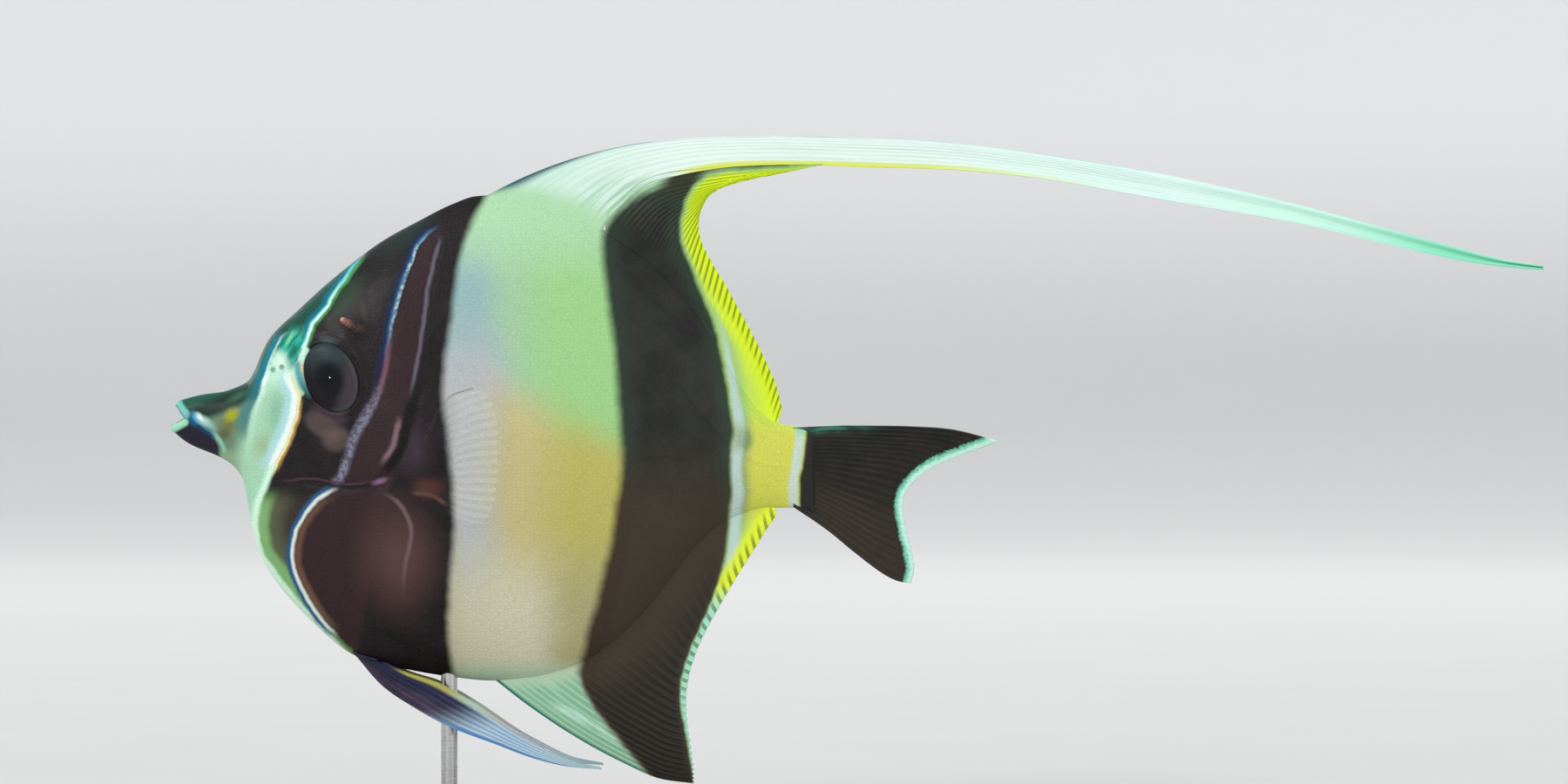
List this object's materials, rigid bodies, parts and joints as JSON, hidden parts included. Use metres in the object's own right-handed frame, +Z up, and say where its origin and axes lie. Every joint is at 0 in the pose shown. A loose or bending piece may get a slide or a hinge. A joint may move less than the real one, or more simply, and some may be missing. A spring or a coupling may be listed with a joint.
{
  "type": "moorish idol fish",
  "caption": "Life-size still model of a disc-shaped reef fish with a long trailing dorsal streamer, held by a rod on an oval display base.",
  "frame": {"origin": "centre of the underside of the stand's oval base, on the surface the stand rests on", "axes": "+X towards the tail and along the long dorsal streamer, +Y towards the fish's right side, +Z up"},
  "size_m": [0.3014, 0.066, 0.1559],
  "materials": {
    "head": "dark brown-black skin, satin, with white face and blue-white lines",
    "lower_jaw": "dark grey skin with pale lips, satin",
    "torso": "pale green-white and black barred skin with very fine scales, satin",
    "tail_stalk": "yellow skin with a white bar at the tail fin, satin",
    "dorsal_banner": "white fin membrane over close rays, satin",
    "streamer_near": "white trailing fin filament, satin",
    "streamer_tip": "white to pale turquoise trailing fin filament, satin",
    "dorsal_fin": "black and yellow rayed fin membrane, satin",
    "anal_fin": "black rayed fin membrane with a pale front and edge, satin",
    "tail_fin": "black rayed fin membrane with a pale turquoise edge, satin",
    "pelvic_fin_left": "black fin blade with a blue-white hind edge, satin",
    "pelvic_fin_right": "black fin blade with a blue-white hind edge, satin",
    "pectoral_fin_left": "clear fin membrane with pale rays",
    "pectoral_fin_right": "clear fin membrane with pale rays",
    "eye_left": "wet gloss, blue-black round pupil in a dark ring",
    "eye_right": "wet gloss, blue-black round pupil in a dark ring",
    "stand_base": "dark stained, satin varnish",
    "stand_rod": "fine brushed"
  },
  "bodies": {
    "root": {"head": "head", "lower_jaw": "lower_jaw", "torso": "torso", "tail_stalk": "tail_stalk", "dorsal_banner": "dorsal_banner", "streamer_near": "streamer_near", "streamer_tip": "streamer_tip", "dorsal_fin": "dorsal_fin", "anal_fin": "anal_fin", "tail_fin": "tail_fin", "pelvic_fin_left": "pelvic_fin_left", "pelvic_fin_right": "pelvic_fin_right", "pectoral_fin_left": "pectoral_fin_left", "pectoral_fin_right": "pectoral_fin_right", "eye_left": "eye_left", "eye_right": "eye_right", "stand_base": "stand_base", "stand_rod": "stand_rod"}
  },
  "joints": []
}
